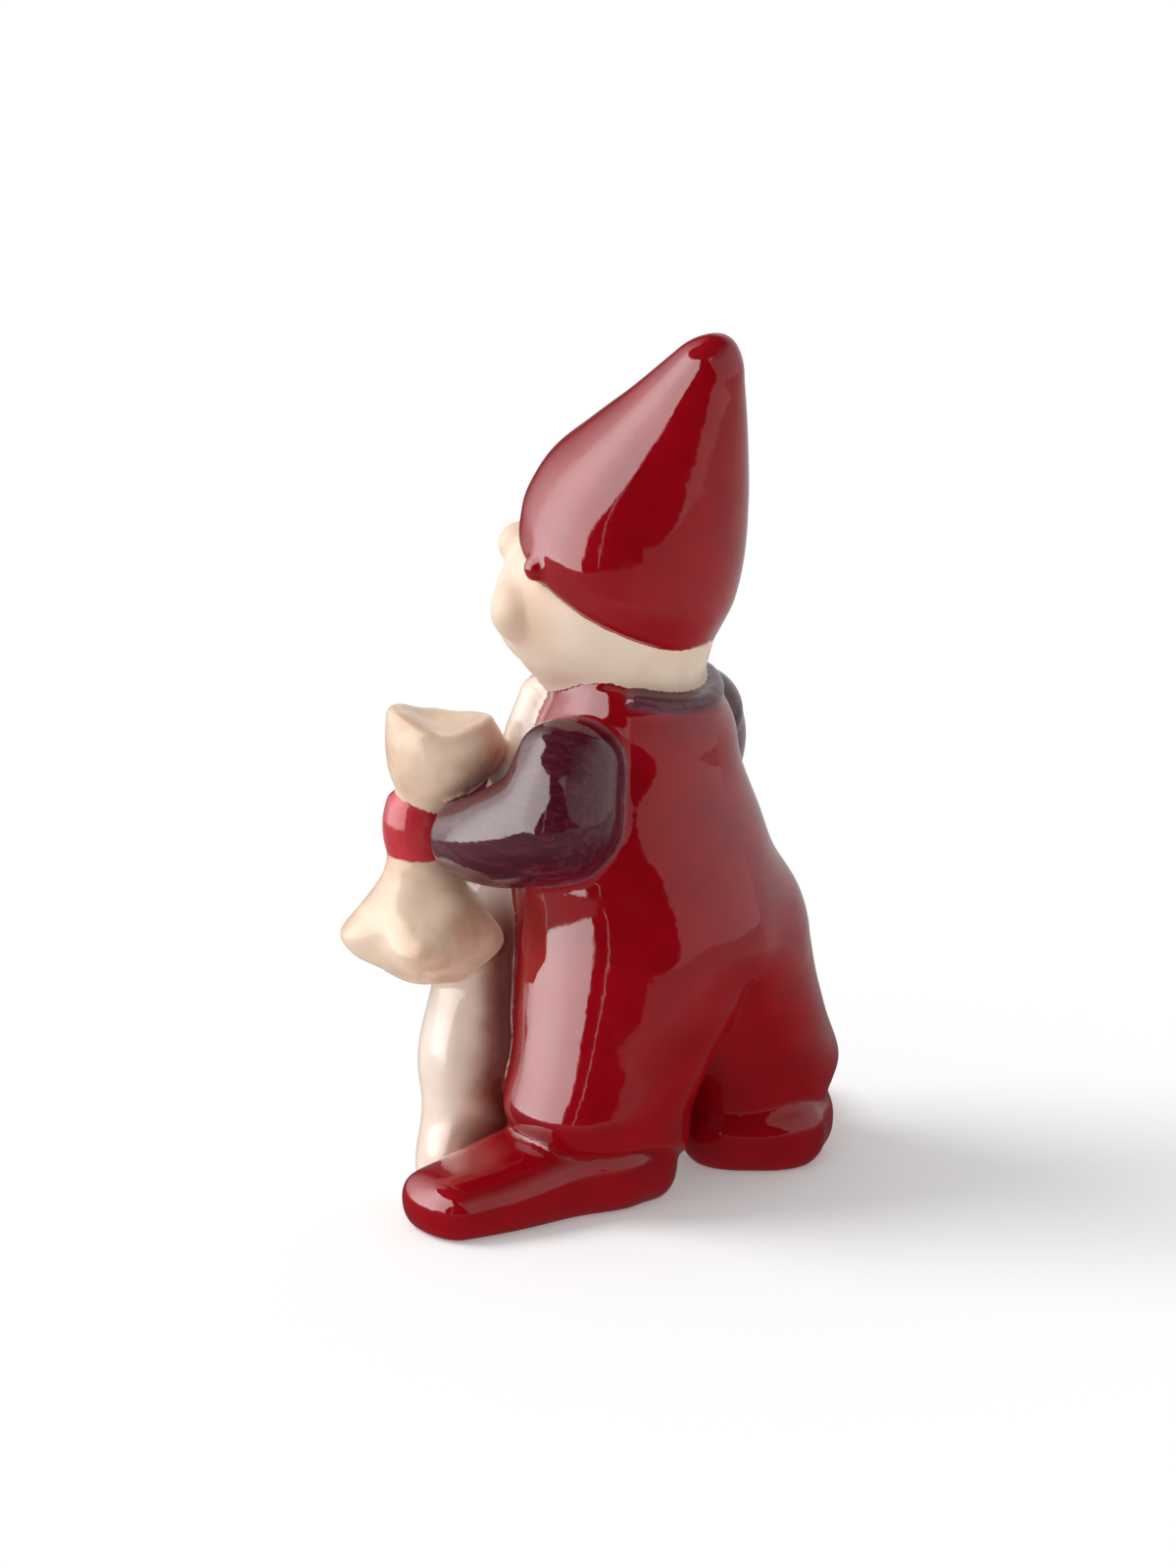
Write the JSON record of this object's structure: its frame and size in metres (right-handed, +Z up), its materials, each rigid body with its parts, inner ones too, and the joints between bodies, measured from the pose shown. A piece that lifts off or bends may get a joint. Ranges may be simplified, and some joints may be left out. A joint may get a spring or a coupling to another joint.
{
  "type": "christmas elf figurine",
  "caption": "Glazed ceramic elf figurine with a tall pointed hat, a beard that reaches the floor and both mittens closed round the neck of a tied sack.",
  "frame": {"origin": "middle of the footprint, on the floor", "axes": "+Z up along the height, -Y the way the elf looks, +X towards the elf's left"},
  "size_m": [0.0994, 0.0704, 0.1457],
  "materials": {
    "red_glaze": "gloss",
    "aubergine_glaze": "gloss",
    "cream_glaze": "gloss"
  },
  "bodies": {
    "root": {"suit": "red_glaze", "collar": "aubergine_glaze", "head": "cream_glaze", "moustache": "cream_glaze", "hat": "red_glaze", "nose": "cream_glaze", "left_boot": "red_glaze", "right_boot": "red_glaze", "sack": "cream_glaze", "left_mitten": "red_glaze", "right_mitten": "red_glaze", "beard": "cream_glaze", "left_sleeve": "aubergine_glaze", "right_sleeve": "aubergine_glaze"}
  },
  "joints": []
}
